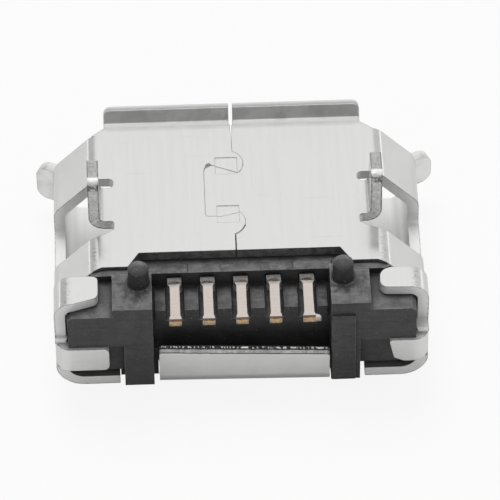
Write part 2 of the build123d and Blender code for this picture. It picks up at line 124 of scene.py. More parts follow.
class SOCKET_PG_shell(bpy.types.PropertyGroup):
    """Sizes and colours of the folded shell"""
    sheet: FloatProperty(
        name="Sheet", description="Thickness of the folded sheet",
        default=0.22 * MM, min=0.05 * MM, max=1 * MM, precision=6, unit="LENGTH", subtype="DISTANCE")
    edge_round: FloatProperty(
        name="Edge round", description="Width of the worn round along each sharp edge",
        default=0.018 * MM, min=0, max=0.05 * MM, precision=6, unit="LENGTH", subtype="DISTANCE")
    ragged: FloatProperty(
        name="Ragged", description="How far the broken part of a cut edge stands in and out",
        default=0.007 * MM, min=0, max=0.05 * MM, precision=6, unit="LENGTH", subtype="DISTANCE")
    plating: FloatVectorProperty(
        name="Plating", description="Colour of the plated faces",
        default=finishes["plated_steel"]["base_color"], min=0, max=1, size=3, subtype="COLOR")
    cut: FloatVectorProperty(
        name="Cut", description="Colour of the bare steel on the sheared edges",
        default=(0.88, 0.875, 0.87), min=0, max=1, size=3, subtype="COLOR")
    gloss: FloatProperty(
        name="Roughness", description="Roughness of the plated faces",
        default=0.22, min=0, max=1, subtype="FACTOR")


class SOCKET_PG_housing(bpy.types.PropertyGroup):
    """Sizes and colours of the moulded housing"""
    edge_round: FloatProperty(
        name="Edge round", description="Width of the round along each moulded edge",
        default=0.022 * MM, min=0, max=0.05 * MM, precision=6, unit="LENGTH", subtype="DISTANCE")
    plastic: FloatVectorProperty(
        name="Plastic", description="Colour of the moulded plastic",
        default=finishes["black_plastic"]["base_color"], min=0, max=1, size=3, subtype="COLOR")
    # Painted light: a paler colour laid on the plastic's faces that look up, for the overhead light they
    # catch
    painted_top_light: FloatVectorProperty(
        name="Chalk", description="Colour of the chalky film on the faces that look up",
        default=(0.185, 0.185, 0.185), min=0, max=1, size=3, subtype="COLOR")
    gloss: FloatProperty(
        name="Roughness", description="Roughness of the moulded plastic",
        default=0.5, min=0, max=1, subtype="FACTOR")
    peg_spacing: FloatProperty(
        name="Peg spacing", description="Distance between the two pegs' middles",
        default=4.0 * MM, min=0.1 * MM, max=20 * MM, precision=6, unit="LENGTH", subtype="DISTANCE")


class SOCKET_PG_contacts(bpy.types.PropertyGroup):
    """Sizes and colours of the five contacts"""
    edge_round: FloatProperty(
        name="Edge round", description="Width of the round along each contact's edges",
        default=0.010 * MM, min=0, max=0.05 * MM, precision=6, unit="LENGTH", subtype="DISTANCE")
    tin: FloatVectorProperty(
        name="Tin", description="Colour of the tin plating on the tails",
        default=(0.66, 0.60, 0.555), min=0, max=1, size=3, subtype="COLOR")
    copper: FloatVectorProperty(
        name="Cut alloy", description="Colour of the bare alloy at the cut tail ends",
        default=(0.50, 0.31, 0.15), min=0, max=1, size=3, subtype="COLOR")
    gold: FloatVectorProperty(
        name="Gold", description="Colour of the gilding on the blades in the mouth",
        default=(0.86, 0.62, 0.28), min=0, max=1, size=3, subtype="COLOR")
    pitch: FloatProperty(
        name="Pitch", description="Distance from one contact to the next",
        default=0.65 * MM, min=0.1 * MM, max=5 * MM, precision=6, unit="LENGTH", subtype="DISTANCE")


class SOCKET_PG_stage(bpy.types.PropertyGroup):
    """The floor, the lamp, the wall and the camera"""
    floor_size: FloatProperty(
        name="Floor", description="Width of the floor",
        default=1.0, min=0.1, max=5, unit="LENGTH", subtype="DISTANCE")
    surround_reach: FloatProperty(
        name="Surround", description="Distance of the grey studio wall",
        default=0.12, min=0.05, max=1, unit="LENGTH", subtype="DISTANCE")
    surround_angle: FloatProperty(
        name="Surround angle", description="Angle above the floor at which the socket sees the wall's top",
        default=math.radians(38), min=0, max=math.radians(80), unit="ROTATION", subtype="ANGLE")
    key_power: FloatProperty(
        name="Key lamp", description="Power of the soft lamp overhead",
        default=0.38, min=0, max=5, unit="POWER")
    key_size: FloatProperty(
        name="Key size", description="Width of the soft lamp overhead",
        default=0.12, min=0.01, max=1, unit="LENGTH", subtype="DISTANCE")
    key_place: FloatVectorProperty(
        name="Key place", description="Where the soft lamp hangs",
        default=(-0.02, 0.09, 0.19), size=3, unit="LENGTH", subtype="TRANSLATION")
    lens: FloatProperty(
        name="Lens", description="Focal length of the camera",
        default=327.23, min=10, max=1000, unit="CAMERA")
    camera_place: FloatVectorProperty(
        name="Camera", description="Where the camera stands",
        default=(-1.517 * MM, -60.13 * MM, 65.31 * MM), size=3, precision=6,
        unit="LENGTH", subtype="TRANSLATION")
    turn: FloatProperty(
        name="Turn", description="How far the camera is turned to its right",
        default=math.radians(1.463), unit="ROTATION", subtype="ANGLE")
    tilt: FloatProperty(
        name="Tilt", description="How far the camera looks down",
        default=math.radians(48.683), unit="ROTATION", subtype="ANGLE")
    roll: FloatProperty(
        name="Roll", description="How far the camera leans to its right",
        default=math.radians(0.709), unit="ROTATION", subtype="ANGLE")


# Node trees

def grey(level):
    """A grey of the given level."""
    return level, level, level


class Recipe:
    """A material under construction: adds nodes to its tree and links them."""

    def __init__(self, name):
        self.material = bpy.data.materials.new(name)
        self.material.use_nodes = True
        self.tree = self.material.node_tree
        self.tree.nodes.clear()
        self.place = self.shade(self.add("ShaderNodeTexCoord").outputs["Object"], 1 / MM)
        self.x, self.y, self.z = self.add("ShaderNodeSeparateXYZ", Vector=self.place).outputs

    def add(self, kind, settings=None, **inputs):
        """Adds a node, sets its own settings, then its sockets by name, with values or links."""
        node = self.tree.nodes.new(kind)
        for key, value in (settings or {}).items():
            setattr(node, key, value)
        for key, value in inputs.items():
            self.feed(node.inputs[key.replace("_", " ")], value)
        return node

    def feed(self, socket, value):
        """Links a socket to another node's output, or sets its value."""
        if isinstance(value, bpy.types.NodeSocket):
            self.tree.links.new(value, socket)
        elif socket.type == "RGBA" and len(value) == 3:
            socket.default_value = (*value, 1)
        else:
            socket.default_value = value

    def math(self, operation, *values):
        """Works on numbers with one of Blender's operations."""
        node = self.add("ShaderNodeMath", {"operation": operation})
        for socket, value in zip(node.inputs, values):
            self.feed(socket, value)
        return node.outputs[0]

    def times(self, result, *values):
        """The product of numbers."""
        for value in values:
            result = self.math("MULTIPLY", result, value)
        return result

    def plus(self, result, *values):
        """The sum of numbers."""
        for value in values:
            result = self.math("ADD", result, value)
        return result

    def minus(self, first, second):
        """The difference of two numbers."""
        return self.math("SUBTRACT", first, second)

    def larger(self, first, second):
        """The larger of two numbers."""
        return self.math("MAXIMUM", first, second)

    def unsigned(self, value):
        """A number without its sign."""
        return self.math("ABSOLUTE", value)

    def band(self, value, low, high, out_low=0.0, out_high=1.0):
        """Maps low to high of a value smoothly to another range, held at both ends."""
        return self.add("ShaderNodeMapRange", {"interpolation_type": "SMOOTHSTEP"}, Value=value,
                        From_Min=low, From_Max=high, To_Min=out_low, To_Max=out_high).outputs["Result"]

    def until(self, value, low, high):
        """One up to low, and falling to nothing at high."""
        return self.band(value, low, high, 1.0, 0.0)

    def between(self, value, start, full, fade, end):
        """One from full to fade, and nothing before start and after end."""
        return self.times(self.band(value, start, full), self.until(value, fade, end))

    def noise(self, scale, detail, roughness, stretch=(1, 1, 1), shift=(0, 0, 0)):
        """Cloud noise in object space, its scale counted per millimetre."""
        node = self.add("ShaderNodeMapping", Vector=self.place, Scale=stretch, Location=shift)
        return self.add("ShaderNodeTexNoise", Vector=node.outputs[0], Scale=scale, Detail=detail,
                        Roughness=roughness).outputs["Fac"]

    def spread(self, clouds, low, high):
        """Maps the usual range of a noise to another range."""
        return self.band(clouds, 0.3, 0.7, low, high)

    def blend(self, share, first, second):
        """Mixes two colours."""
        node = self.add("ShaderNodeMix", {"data_type": "RGBA"})
        for index, value in ((0, share), (6, first), (7, second)):
            self.feed(node.inputs[index], value)
        return node.outputs[2]

    def coats(self, colour, *layers):
        """Lays coats over a colour, each given by its share and its own colour."""
        for share, coat in layers:
            colour = self.blend(share, colour, coat)
        return colour

    def shade(self, colour, factor):
        """Multiplies a colour, or a place, by a number."""
        return self.add("ShaderNodeVectorMath", {"operation": "SCALE"}, Vector=colour,
                        Scale=factor).outputs[0]

    def mark(self, name):
        """Reads a number stored on the mesh."""
        return self.add("ShaderNodeAttribute", {"attribute_name": name}).outputs["Fac"]

    def facing(self, axis):
        """How far the surface looks along an axis."""
        normal = self.add("ShaderNodeNewGeometry").outputs["Normal"]
        return self.add("ShaderNodeSeparateXYZ", Vector=normal).outputs[axis]

    def soft_edges(self, width, wider=None):
        """Normals that run round each sharp edge, and how near a point is to an outward edge."""
        radius = width if wider is None else self.band(wider, 0, 1, width, 2.5 * width)
        rounded = self.add("ShaderNodeBevel", {"samples": 6}, Radius=radius).outputs[0]
        turn = self.add("ShaderNodeVectorMath", {"operation": "DOT_PRODUCT"})
        self.feed(turn.inputs[0], rounded)
        self.feed(turn.inputs[1], self.add("ShaderNodeNewGeometry").outputs["Normal"])
        bent = self.until(turn.outputs["Value"], 0.80, 0.99)
        open_sky = self.add("ShaderNodeAmbientOcclusion", {"samples": 6}, Distance=4 * width).outputs["AO"]
        return rounded, self.times(bent, self.band(open_sky, 0.55, 0.9))

    def bump(self, height, strength, depth, normal):
        """Tilts the normals as if the height stood out by the given depth."""
        return self.add("ShaderNodeBump", Height=height, Strength=strength, Distance=depth,
                        Normal=normal).outputs[0]

    def end(self, shader):
        """Ends the tree in a shader."""
        self.add("ShaderNodeOutputMaterial", Surface=shader.outputs[0])
        return self.material

    def finish(self, **inputs):
        """Ends the tree in a principled shader with the sockets given."""
        return self.end(self.add("ShaderNodeBsdfPrincipled", **inputs))


# Plated metal

def plated_skin(mix, settings, clouds, lines):
    """The sheet's faces: clouds, rolling lines, freckled bends, painted shade on the inside towards the rear
    and at the foot of the lips, and blotched lips.
    """
    outside = mix.mark("outside")
    scuffs = mix.band(mix.noise(16.0, 2.0, 0.5, stretch=(0.05, 1.0, 1.0), shift=(3, 7, 1)), 0.66, 0.74)
    tone = mix.plus(mix.spread(clouds, 0.995, 1.04), mix.spread(lines, -0.012, 0.012))
    skin = mix.shade(settings.plating, mix.minus(tone, mix.times(scuffs, 0.06)))

    lean = mix.unsigned(mix.facing(0))
    bends = mix.times(mix.between(lean, 0.03, 0.12, 0.45, 0.6), outside, mix.band(mix.z, -0.6, -0.4))
    freckles = mix.band(mix.noise(24.0, 3.0, 0.65, shift=(9, 1, 6)), 0.50, 0.66)
    freckles = mix.times(freckles, mix.band(mix.y, 1.4, 2.4, 0.40, 0.14))
    skin = mix.blend(mix.times(bends, freckles), skin, grey(0.36))

    # Painted shade: the inside of the sheet is darkened towards the rear and lightened a little towards the
    # mouth
    inner_shade = mix.times(mix.minus(1.0, outside), mix.band(mix.y, 0.3, 0.9, -0.6, 0.12))
    skin = mix.shade(skin, mix.plus(inner_shade, 1.0))

    blotches = mix.band(mix.noise(2.2, 4.0, 0.6, shift=(4, 1, 7)), 0.35, 0.65, -0.14, 0.06)
    blotches = mix.times(blotches, outside, mix.band(mix.y, 4.24, 4.30))
    # Painted shade at the foot of the lips
    lip_foot_shade = mix.times(mix.between(mix.y, 4.19, 4.21, 4.26, 4.30), outside, 0.15)
    return mix.shade(skin, mix.plus(mix.minus(blotches, lip_foot_shade), 1.0))


def smooth_cut(mix, settings, clouds, broken, lips):
    """Cleanly sheared edges: pale, with a broken dark line along the side of the sheet that shows."""
    # Painted shade: cut faces that look up are made a little darker
    tone = mix.times(mix.spread(clouds, 0.96, 1.04), mix.band(mix.facing(2), 0.3, 0.9, 1.0, 0.88))
    line = mix.times(mix.band(mix.mark("outside"), 0.88, 0.96), mix.band(broken, 0.42, 0.58, 0.2, 0.75))
    line = mix.times(line, mix.minus(1.0, lips))
    return mix.blend(line, mix.shade(settings.cut, tone), grey(0.22))


def torn_cut(mix, settings):
    """Torn edges of the legs: blobs and dark outlines, a dark mottled band under the rounded tip and a
    painted highlight on it.
    """
    blobs = mix.noise(13.0, 3.0, 0.6, shift=(2, 9, 4))
    speck = mix.noise(34.0, 2.0, 0.5, shift=(8, 3, 1))
    tone = mix.plus(mix.band(blobs, 0.36, 0.64, 0.86, 1.10), mix.band(speck, 0.35, 0.65, -0.12, 0.09))
    tone = mix.times(tone, mix.band(mix.y, 1.66, 1.76, 1.0, 0.42), mix.band(mix.z, 1.06, 1.10, 1.0, 1.08))
    off_middle = mix.unsigned(mix.minus(mix.mark("outside"), 0.5))
    outline = mix.band(mix.plus(off_middle, mix.spread(blobs, -0.06, 0.06)), 0.38, 0.46)
    under_tip_dark = mix.times(mix.between(mix.z, 0.84, 0.90, 1.0, 1.05), mix.band(blobs, 0.42, 0.52))
    # Painted highlight along the leg's rounded tip
    painted_glint = mix.times(mix.band(mix.z, 1.03, 1.09), mix.until(mix.y, 1.70, 1.78))
    return mix.coats(
        mix.shade(settings.cut, tone),
        (mix.times(outline, 0.8), grey(0.12)),
        (mix.times(under_tip_dark, 0.8), grey(0.06)),
        (mix.times(painted_glint, 0.85), (0.95, 0.95, 0.94)))


def flap_cut(mix, lines):
    """Top edge of the rear flap: a light strip between dark lines, then a row of bright beads."""
    outside = mix.mark("outside")
    beads = mix.band(mix.noise(26.0, 1.0, 0.5, stretch=(1.0, 0.3, 0.3), shift=(6, 6, 2)), 0.50, 0.58)
    row = mix.times(mix.between(outside, 0.10, 0.16, 0.30, 0.36), beads)
    strip = mix.times(mix.between(outside, 0.46, 0.54, 0.86, 0.93), mix.spread(lines, 0.45, 0.75))
    return mix.shade((0.93, 0.93, 0.92), mix.plus(strip, row, 0.05))


def plated_metal(settings):
    """Satin plated sheet, with smooth or torn steel on its cut edges, painted shade on the plate's rear edge
    and on the lips' cut edges, and a painted highlight along its outward edges.
    """
    mix = Recipe("plated_metal")
    cut = mix.mark("sheared")
    torn = mix.mark("torn")
    outside = mix.mark("outside")
    lips = mix.band(mix.y, *LIP_TURN)
    rounded, edge = mix.soft_edges(settings.edge_round, lips)
    clouds = mix.noise(0.9, 4.0, 0.6)
    grain = mix.noise(42.0, 2.0, 0.6)
    lines = mix.noise(9.0, 3.0, 0.6, stretch=(1.0, 0.06, 1.0))
    broken = mix.noise(20.0, 4.0, 0.6, shift=(5, 2, 9))

    on_flap = mix.until(mix.y, -0.58, -0.5)
    steel = mix.coats(
        smooth_cut(mix, settings, clouds, broken, lips),
        (torn, mix.blend(on_flap, torn_cut(mix, settings), flap_cut(mix, lines))),
        # Painted shade: the plate's rear edge under the housing is laid in dark grey
        (mix.mark("shaded"), mix.shade(grey(0.14), mix.spread(lines, 0.6, 1.3))))

    # The cut edges of the lips are rolled over and keep most of their plating. They also get painted shade,
    # strongest on the side of the sheet that shows and weaker towards the ears
    lip_edge_shade = mix.times(cut, lips, mix.band(outside, 0.0, 1.0, 0.30, 1.0))
    lip_edge_shade = mix.times(lip_edge_shade, mix.band(mix.unsigned(mix.x), 2.75, 3.1, 1.0, 0.35))
    bare = mix.times(cut, mix.minus(1.0, mix.times(lips, 0.8)))
    # Painted highlight along the outward edges, weaker on the cut faces
    bright = mix.times(edge, mix.minus(0.5, mix.times(cut, 0.45)))
    colour = mix.coats(
        plated_skin(mix, settings, clouds, lines),
        (lip_edge_shade, grey(0.30)),
        (bare, steel),
        (bright, (0.80, 0.80, 0.79)))
    rough = mix.plus(settings.gloss, mix.spread(clouds, -0.04, 0.05), mix.times(bare, 0.2),
                     mix.band(outside, 0.0, 1.0, 0.22, 0.0))
    metal = mix.times(mix.minus(1.0, mix.times(bare, 0.6)), mix.band(outside, 0.0, 1.0, 0.7, 1.0))
    normal = mix.bump(grain, 0.25, 0.0016 * MM, rounded)
    normal = mix.bump(lines, 0.12, 0.002 * MM, normal)
    normal = mix.bump(mix.times(broken, torn, cut), 0.5, 0.006 * MM, normal)
    return mix.finish(Base_Color=colour, Metallic=metal, Roughness=rough, Normal=normal)


# Moulded plastic

def peg_shade_and_crescent(mix, settings, mottle):
    """Painted shade behind each peg and low on it, and a pale crescent where its root was rubbed."""
    x = mix.minus(mix.unsigned(mix.x), settings.peg_spacing / (2 * MM))
    radius = mix.math("SQRT", mix.plus(mix.times(x, x), mix.times(mix.y, mix.y)))
    shade_behind_peg = mix.until(mix.plus(radius, mix.spread(mottle, -0.14, 0.14)), 0.28, 0.52)
    shade_behind_peg = mix.times(shade_behind_peg, mix.until(mix.y, -0.04, 0.05))
    low_peg = mix.times(mix.until(radius, 0.25, 0.27), mix.until(mix.z, 0.08, 0.30))
    crescent = mix.times(mix.between(radius, 0.242, 0.252, 0.258, 0.272), mix.until(mix.y, -0.16, -0.08))
    crescent = mix.times(crescent, mix.band(mix.noise(14.0, 2.0, 0.6), 0.44, 0.56))
    return mix.larger(shade_behind_peg, low_peg), crescent


def scored_lines(mix):
    """Thin dark lines along y, at the ends of the cross bar's notches."""
    scored = 0.0
    for place in SCORED_LINES:
        off = mix.unsigned(mix.minus(mix.x, place))
        scored = mix.larger(scored, mix.until(off, 0.008, 0.022))
    return mix.times(scored, mix.between(mix.y, 0.41, 0.44, 0.61, 0.65))


def moulded_plastic(settings):
    """Black filled plastic: mottled texture, drag marks, painted light on the faces that look up, rubbed
    edges, dust, and painted shade at the pegs and in the corners.
    """
    mix = Recipe("moulded_plastic")
    rounded, edge = mix.soft_edges(settings.edge_round)
    clouds = mix.noise(1.6, 4.0, 0.6)
    mottle = mix.noise(6.0, 5.0, 0.66, shift=(1, 6, 3))
    spark = mix.noise(30.0, 3.0, 0.6)
    drag = mix.noise(13.0, 4.0, 0.65, stretch=(0.16, 1.0, 1.0), shift=(2, 5, 8))
    swirl = mix.noise(11.0, 3.0, 0.6, stretch=(1.0, 0.25, 1.0), shift=(7, 1, 3))
    tone = mix.plus(mix.spread(clouds, 0.85, 1.15), mix.band(spark, 0.35, 0.65, -0.2, 0.2),
                    mix.band(drag, 0.35, 0.65, -0.14, 0.14))

    level = mix.band(mix.facing(2), 0.5, 0.95)
    # Painted light: faces that look up are made paler in mottled patches
    painted_top_light = mix.times(level, mix.band(mottle, 0.36, 0.62, 0.3, 1.0))
    streaks = mix.times(level, mix.band(drag, 0.54, 0.66))
    gouges = mix.times(level, mix.band(swirl, 0.60, 0.68))
    # Painted shade: a cast shadow behind each peg and darkening low on it
    peg_shade, crescent = peg_shade_and_crescent(mix, settings, mottle)
    # Painted shade in corners and crevices, where little open sky is seen
    open_sky = mix.add("ShaderNodeAmbientOcclusion", {"samples": 8}, Distance=0.28 * MM).outputs["AO"]
    corners = mix.until(open_sky, 0.42, 0.86)
    scored = mix.times(scored_lines(mix), level)
    rubbed = mix.times(edge, mix.band(mix.noise(9.0, 4.0, 0.65), 0.38, 0.54))
    dust = mix.band(mix.noise(22.0, 1.0, 0.4, shift=(4, 4, 4)), 0.73, 0.79)
    colour = mix.coats(
        mix.shade(settings.plastic, tone),
        (mix.times(painted_top_light, 0.60), settings.painted_top_light),
        (mix.times(streaks, 0.35), grey(0.24)),
        (mix.times(gouges, 0.55), grey(0.035)),
        (mix.times(peg_shade, 0.62), grey(0.028)),
        (mix.times(corners, 0.85), grey(0.018)),
        (mix.times(scored, 0.85), grey(0.02)),
        (mix.times(crescent, 0.7), grey(0.30)),
        (mix.times(rubbed, 0.9), grey(0.33)),
        (mix.times(dust, 0.6), grey(0.34)))
    rough = mix.plus(settings.gloss, mix.spread(mottle, -0.1, 0.12))
    normal = mix.bump(spark, 0.4, 0.005 * MM, rounded)
    normal = mix.bump(mottle, 0.35, 0.014 * MM, normal)
    normal = mix.bump(mix.times(drag, level), 0.4, 0.010 * MM, normal)
    return mix.finish(Base_Color=colour, Roughness=rough, Normal=normal, IOR=1.5)


# Contact metal

def cut_alloy(mix, settings, patches, grain, across):
    """The tails' cut ends: patchy bare alloy, tinned flanks and a burnt line along the top."""
    flanks = mix.band(mix.plus(across, mix.spread(patches, -0.04, 0.04)), 0.12, 0.19)
    burnt = mix.band(mix.plus(mix.z, mix.spread(patches, -0.015, 0.015)), -0.085, -0.06)
    return mix.coats(
        settings.copper,
        (mix.band(patches, 0.38, 0.62), (0.70, 0.46, 0.22)),
        (mix.times(flanks, 0.8), (0.66, 0.60, 0.53)),
        (burnt, mix.shade((0.17, 0.11, 0.08), mix.spread(grain, 0.6, 1.4))))


def contact_metal(settings):
    """Tinned tails with bare alloy at their cut ends, painted shade on the roots, a painted highlight along
    the edges, and gilding on the blades.
    """
    mix = Recipe("contact_metal")
    rounded, edge = mix.soft_edges(settings.edge_round)
    clouds = mix.noise(7.0, 3.0, 0.6)
    grain = mix.noise(40.0, 2.0, 0.5, stretch=(1.0, 0.15, 1.0))
    patches = mix.noise(16.0, 2.0, 0.6, shift=(3, 3, 1))

    # Distance from the contact's own middle, in pitches
    pitches = mix.plus(mix.math("DIVIDE", mix.x, settings.pitch / MM), 10.5)
    across = mix.unsigned(mix.minus(mix.math("FRACT", pitches), 0.5))

    cut_end = mix.times(mix.until(mix.facing(1), -0.75, -0.5), mix.until(mix.y, -0.95, -0.9))
    gilt = mix.band(mix.y, 1.0, 1.2)
    shoulder = mix.band(across, 0.10, 0.16, 0.0, 0.05)
    # Painted shade: the roots, which slope down into the housing, are laid in dark grey and made less
    # metallic
    root = mix.until(mix.minus(mix.z, shoulder), -0.28, -0.10)
    root = mix.times(root, mix.minus(1.0, gilt))
    root_shade_tone = mix.band(mix.noise(30.0, 2.0, 0.6), 0.38, 0.62, 0.35, 1.5)
    colour = mix.coats(
        mix.shade(settings.tin, mix.spread(clouds, 0.94, 1.06)),
        (gilt, settings.gold),
        (cut_end, cut_alloy(mix, settings, patches, grain, across)),
        (root, mix.shade(grey(0.20), root_shade_tone)),
        # Painted highlight along the outward edges
        (mix.times(edge, 0.35), (0.80, 0.76, 0.72)))
    metal = mix.minus(1.0, mix.larger(mix.times(root, 0.85), mix.times(cut_end, 0.5)))
    rough = mix.plus(0.3, mix.spread(clouds, -0.06, 0.1))
    normal = mix.bump(grain, 0.2, 0.0015 * MM, rounded)
    normal = mix.bump(mix.times(patches, cut_end), 0.6, 0.01 * MM, normal)
    return mix.finish(Base_Color=colour, Metallic=metal, Roughness=rough, Normal=normal)


# Making a dressed piece from the solid of its node

def within(value, span):
    """Whether a value lies inside a span."""
    return span[0] < value < span[1]


def solid_of(node):
    """A copy of a node's mesh with its shared points joined."""
    source = bpy.data.objects[node]
    mesh = source.data.copy()
    mesh.transform(source.matrix_world)
    body = bmesh.new()
    body.from_mesh(mesh)
    bpy.data.meshes.remove(mesh)
    bmesh.ops.remove_doubles(body, verts=body.verts, dist=SAME_POINT)
    return body


def tell_cut_faces(body, sheet):
    """Marks the faces that were cut through the sheet, and the side of the sheet that each point is on."""
    sheared = body.faces.layers.float.new("sheared")
    outside = body.verts.layers.float.new("outside")
    body.normal_update()
    body.faces.ensure_lookup_table()
    tree = BVHTree.FromBMesh(body)
    for face in body.faces:
        inward = -face.normal
        start = face.calc_center_median() + inward * OFF_FACE
        place, _, _, distance = tree.ray_cast(start, inward, 5 * sheet)
        is_skin = place is not None and within(distance / sheet, SKIN_DEPTH)
        face[sheared] = 0.0 if is_skin else 1.0

    # The outer side is what hangs together with the plate's board side
    skins = {face for face in body.faces if face[sheared] == 0}
    front = [face for face in skins
             if face.calc_center_median().z > BOARD_FACE * MM and face.normal.z > 0.95]
    if not front:
        raise RuntimeError("the shell has no face on the board side")
    reached = set(front)
    while front:
        face = front.pop()
        for edge in face.edges:
            for other in edge.link_faces:
                if other in skins and other not in reached and other.normal.angle(face.normal, 0) < FOLD:
                    reached.add(other)
                    front.append(other)
    for face in reached:
        for vert in face.verts:
            vert[outside] = 1.0


def join_flats(body):
    """Joins the triangles of each flat face."""
    bmesh.ops.dissolve_limit(body, angle_limit=FLAT, verts=body.verts, edges=body.edges,
                             use_dissolve_boundaries=False)


def refine(body, wanted, target):
    """Splits the long edges of the wanted faces until they are short enough to be shaped."""
    bmesh.ops.triangulate(body, faces=[face for face in body.faces if wanted(face)])
    for _ in range(PASSES):
        # A dictionary keeps the edges in order, so that each run splits them alike
        edges = dict.fromkeys(edge for face in body.faces if wanted(face) for edge in face.edges
                              if edge.calc_length() > target)
        if not edges:
            return
        bmesh.ops.subdivide_edges(body, edges=list(edges), cuts=1)
        bmesh.ops.triangulate(body, faces=[face for face in body.faces if wanted(face)])


def cut_normals(vert, sheared):
    """The normals of the cut faces that meet at a point."""
    return [face.normal for face in vert.link_faces if face[sheared] > 0.5]


def grade_cuts(body):
    """Tells the torn cuts of the legs and of the flap's top edge, and the plate's rear edge in the shade."""
    sheared = body.faces.layers.float["sheared"]
    torn = body.verts.layers.float.new("torn")
    shaded = body.verts.layers.float.new("shaded")
    for vert in body.verts:
        if not cut_normals(vert, sheared):
            continue
        x, y, z = vert.co / MM
        on_leg = abs(x) > LEG_INNER and within(y, LEG_SPAN) and z > BOARD_SIDE
        on_flap = y < FLAP_FACE and abs(x) < FLAP_SIDE
        in_shade = within(y, PLATE_REAR) and abs(x) < PLATE_SIDE and z > BOARD_SIDE
        vert[torn] = 1.0 if on_leg or on_flap else 0.0
        vert[shaded] = 1.0 if in_shade else 0.0


def press_seam(body, reach):
    """Brings the two edges of the seam in the plate nearly together, as the real ones are pressed."""
    sheared = body.faces.layers.float["sheared"]
    body.normal_update()
    tree = BVHTree.FromBMesh(body)
    lowest, highest = SEAM_SHEET
    moves = []
    for vert in body.verts:
        x, y, z = vert.co / MM
        cuts = [normal for normal in cut_normals(vert, sheared) if abs(normal.z) < 0.3]
        if not cuts or abs(x) > SEAM_SIDE or not within(y, SEAM_SPAN) or z < BOARD_SIDE:
            continue
        out = sum(cuts, Vector())
        out.z = 0
        out.normalize()
        start = vert.co + out * OFF_FACE
        start.z = min(max(start.z, lowest * MM), highest * MM)
        place, _, _, gap = tree.ray_cast(start, out, reach)
        if within(x, HOLLOW_X) and within(y, HOLLOW_Y):
            middle = Vector(HOLLOW_MIDDLE) * MM
            moves.append((vert, (middle - vert.co.xy).to_3d() * HOLLOW_SHARE))
        elif place is not None and gap < SEAM_GAP * MM:
            share = LOOSE_SHARE if y < SEAM_LOOSE_END else PRESSED_SHARE
            moves.append((vert, out * (share * gap)))
    for vert, move in moves:
        vert.co += move


def roughen(body, reach):
    """Moves the points of the cut faces in and out, most where they are torn and least on the lips."""
    sheared = body.faces.layers.float["sheared"]
    torn = body.verts.layers.float["torn"]
    body.normal_update()
    moves = []
    for vert in body.verts:
        cuts = cut_normals(vert, sheared)
        if not cuts:
            continue
        place = vert.co / MM
        out = (noise.noise(place * 22) + noise.noise(place * 7)) * (0.1 if place.y > LIP_START else 0.35)
        if vert[torn] > 0.5:
            out = 3.2 * out + 1.3 * noise.noise(place * 13)
        if len(cuts) < len(vert.link_faces):
            out *= 0.45
        moves.append((vert, sum(cuts, Vector()).normalized() * (reach * out)))
    for vert, move in moves:
        vert.co += move


def warp(body, reach, pitch):
    """Lets a moulded or formed body wander slightly from its true shape."""
    noise.seed_set(WARP_SEED)
    for vert in body.verts:
        vert.co += noise.noise_vector(vert.co / pitch) * reach


def slim_tail(body, node, pitch):
    """Draws in the sides of a contact's tail slightly, more along it than at its cut end."""
    middle = (contact_nodes.index(node) - len(contact_nodes) // 2) * pitch
    for vert in body.verts:
        y = vert.co.y / MM
        if y < TAIL_START and abs(vert.co.x - middle) < TAIL_SIDE * MM:
            share = 0.86 if y > TAIL_END else 0.93
            vert.co.x = middle + (vert.co.x - middle) * share


def place_piece(body, node, material):
    """Turns a worked solid into the piece that stands for its node."""
    name = node + "_dressed"
    mesh = bpy.data.meshes.new(name)
    for face in body.faces:
        face.smooth = True
    for edge in body.edges:
        if edge.is_manifold and edge.calc_face_angle(0) > SHARP:
            edge.smooth = False
    body.to_mesh(mesh)
    body.free()
    mesh.materials.append(material)
    piece = bpy.data.objects.new(name, mesh)
    bpy.context.scene.collection.objects.link(piece)
    weigh = piece.modifiers.new("face weighted normals", "WEIGHTED_NORMAL")
    weigh.keep_sharp = True
    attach(piece, "root")
    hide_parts(node)


class SOCKET_OT_dress_shell(bpy.types.Operator):
    """Rounds and roughens the edges of the folded shell and gives it its plating"""
    bl_idname = "socket.dress_shell"
    bl_label = "Dress shell"

    def execute(self, context):
        settings = context.scene.socket_shell
        body = solid_of("shell")
        tell_cut_faces(body, settings.sheet)
        join_flats(body)
        sheared = body.faces.layers.float["sheared"]
        refine(body, lambda face: face[sheared] > 0.5, target=0.040 * MM)
        press_seam(body, reach=0.12 * MM)
        grade_cuts(body)
        roughen(body, settings.ragged)
        place_piece(body, "shell", plated_metal(settings))
        return {"FINISHED"}


class SOCKET_OT_dress_housing(bpy.types.Operator):
    """Rounds the moulded edges of the housing and gives it its black plastic"""
    bl_idname = "socket.dress_housing"
    bl_label = "Dress housing"

    def execute(self, context):
        settings = context.scene.socket_housing
        body = solid_of("housing")
        refine(body, lambda face: True, target=0.14 * MM)
        warp(body, reach=0.004 * MM, pitch=0.9 * MM)
        place_piece(body, "housing", moulded_plastic(settings))
        return {"FINISHED"}


class SOCKET_OT_dress_contacts(bpy.types.Operator):
    """Rounds the edges of the five contacts and gives them tin, bare alloy and gilding"""
    bl_idname = "socket.dress_contacts"
    bl_label = "Dress contacts"

    def execute(self, context):
        settings = context.scene.socket_contacts
        material = contact_metal(settings)
        for node in contact_nodes:
            body = solid_of(node)
            refine(body, lambda face: True, target=0.07 * MM)
            slim_tail(body, node, settings.pitch)
            warp(body, reach=0.003 * MM, pitch=0.35 * MM)
            place_piece(body, node, material)
        return {"FINISHED"}


# The studio

def stage_piece(name, points, faces, material):
    """A plain mesh of the studio."""
    mesh = bpy.data.meshes.new(name)
    mesh.from_pydata(points, [], faces)
    mesh.materials.append(material)
    piece = bpy.data.objects.new(name, mesh)
    bpy.context.scene.collection.objects.link(piece)
    return piece


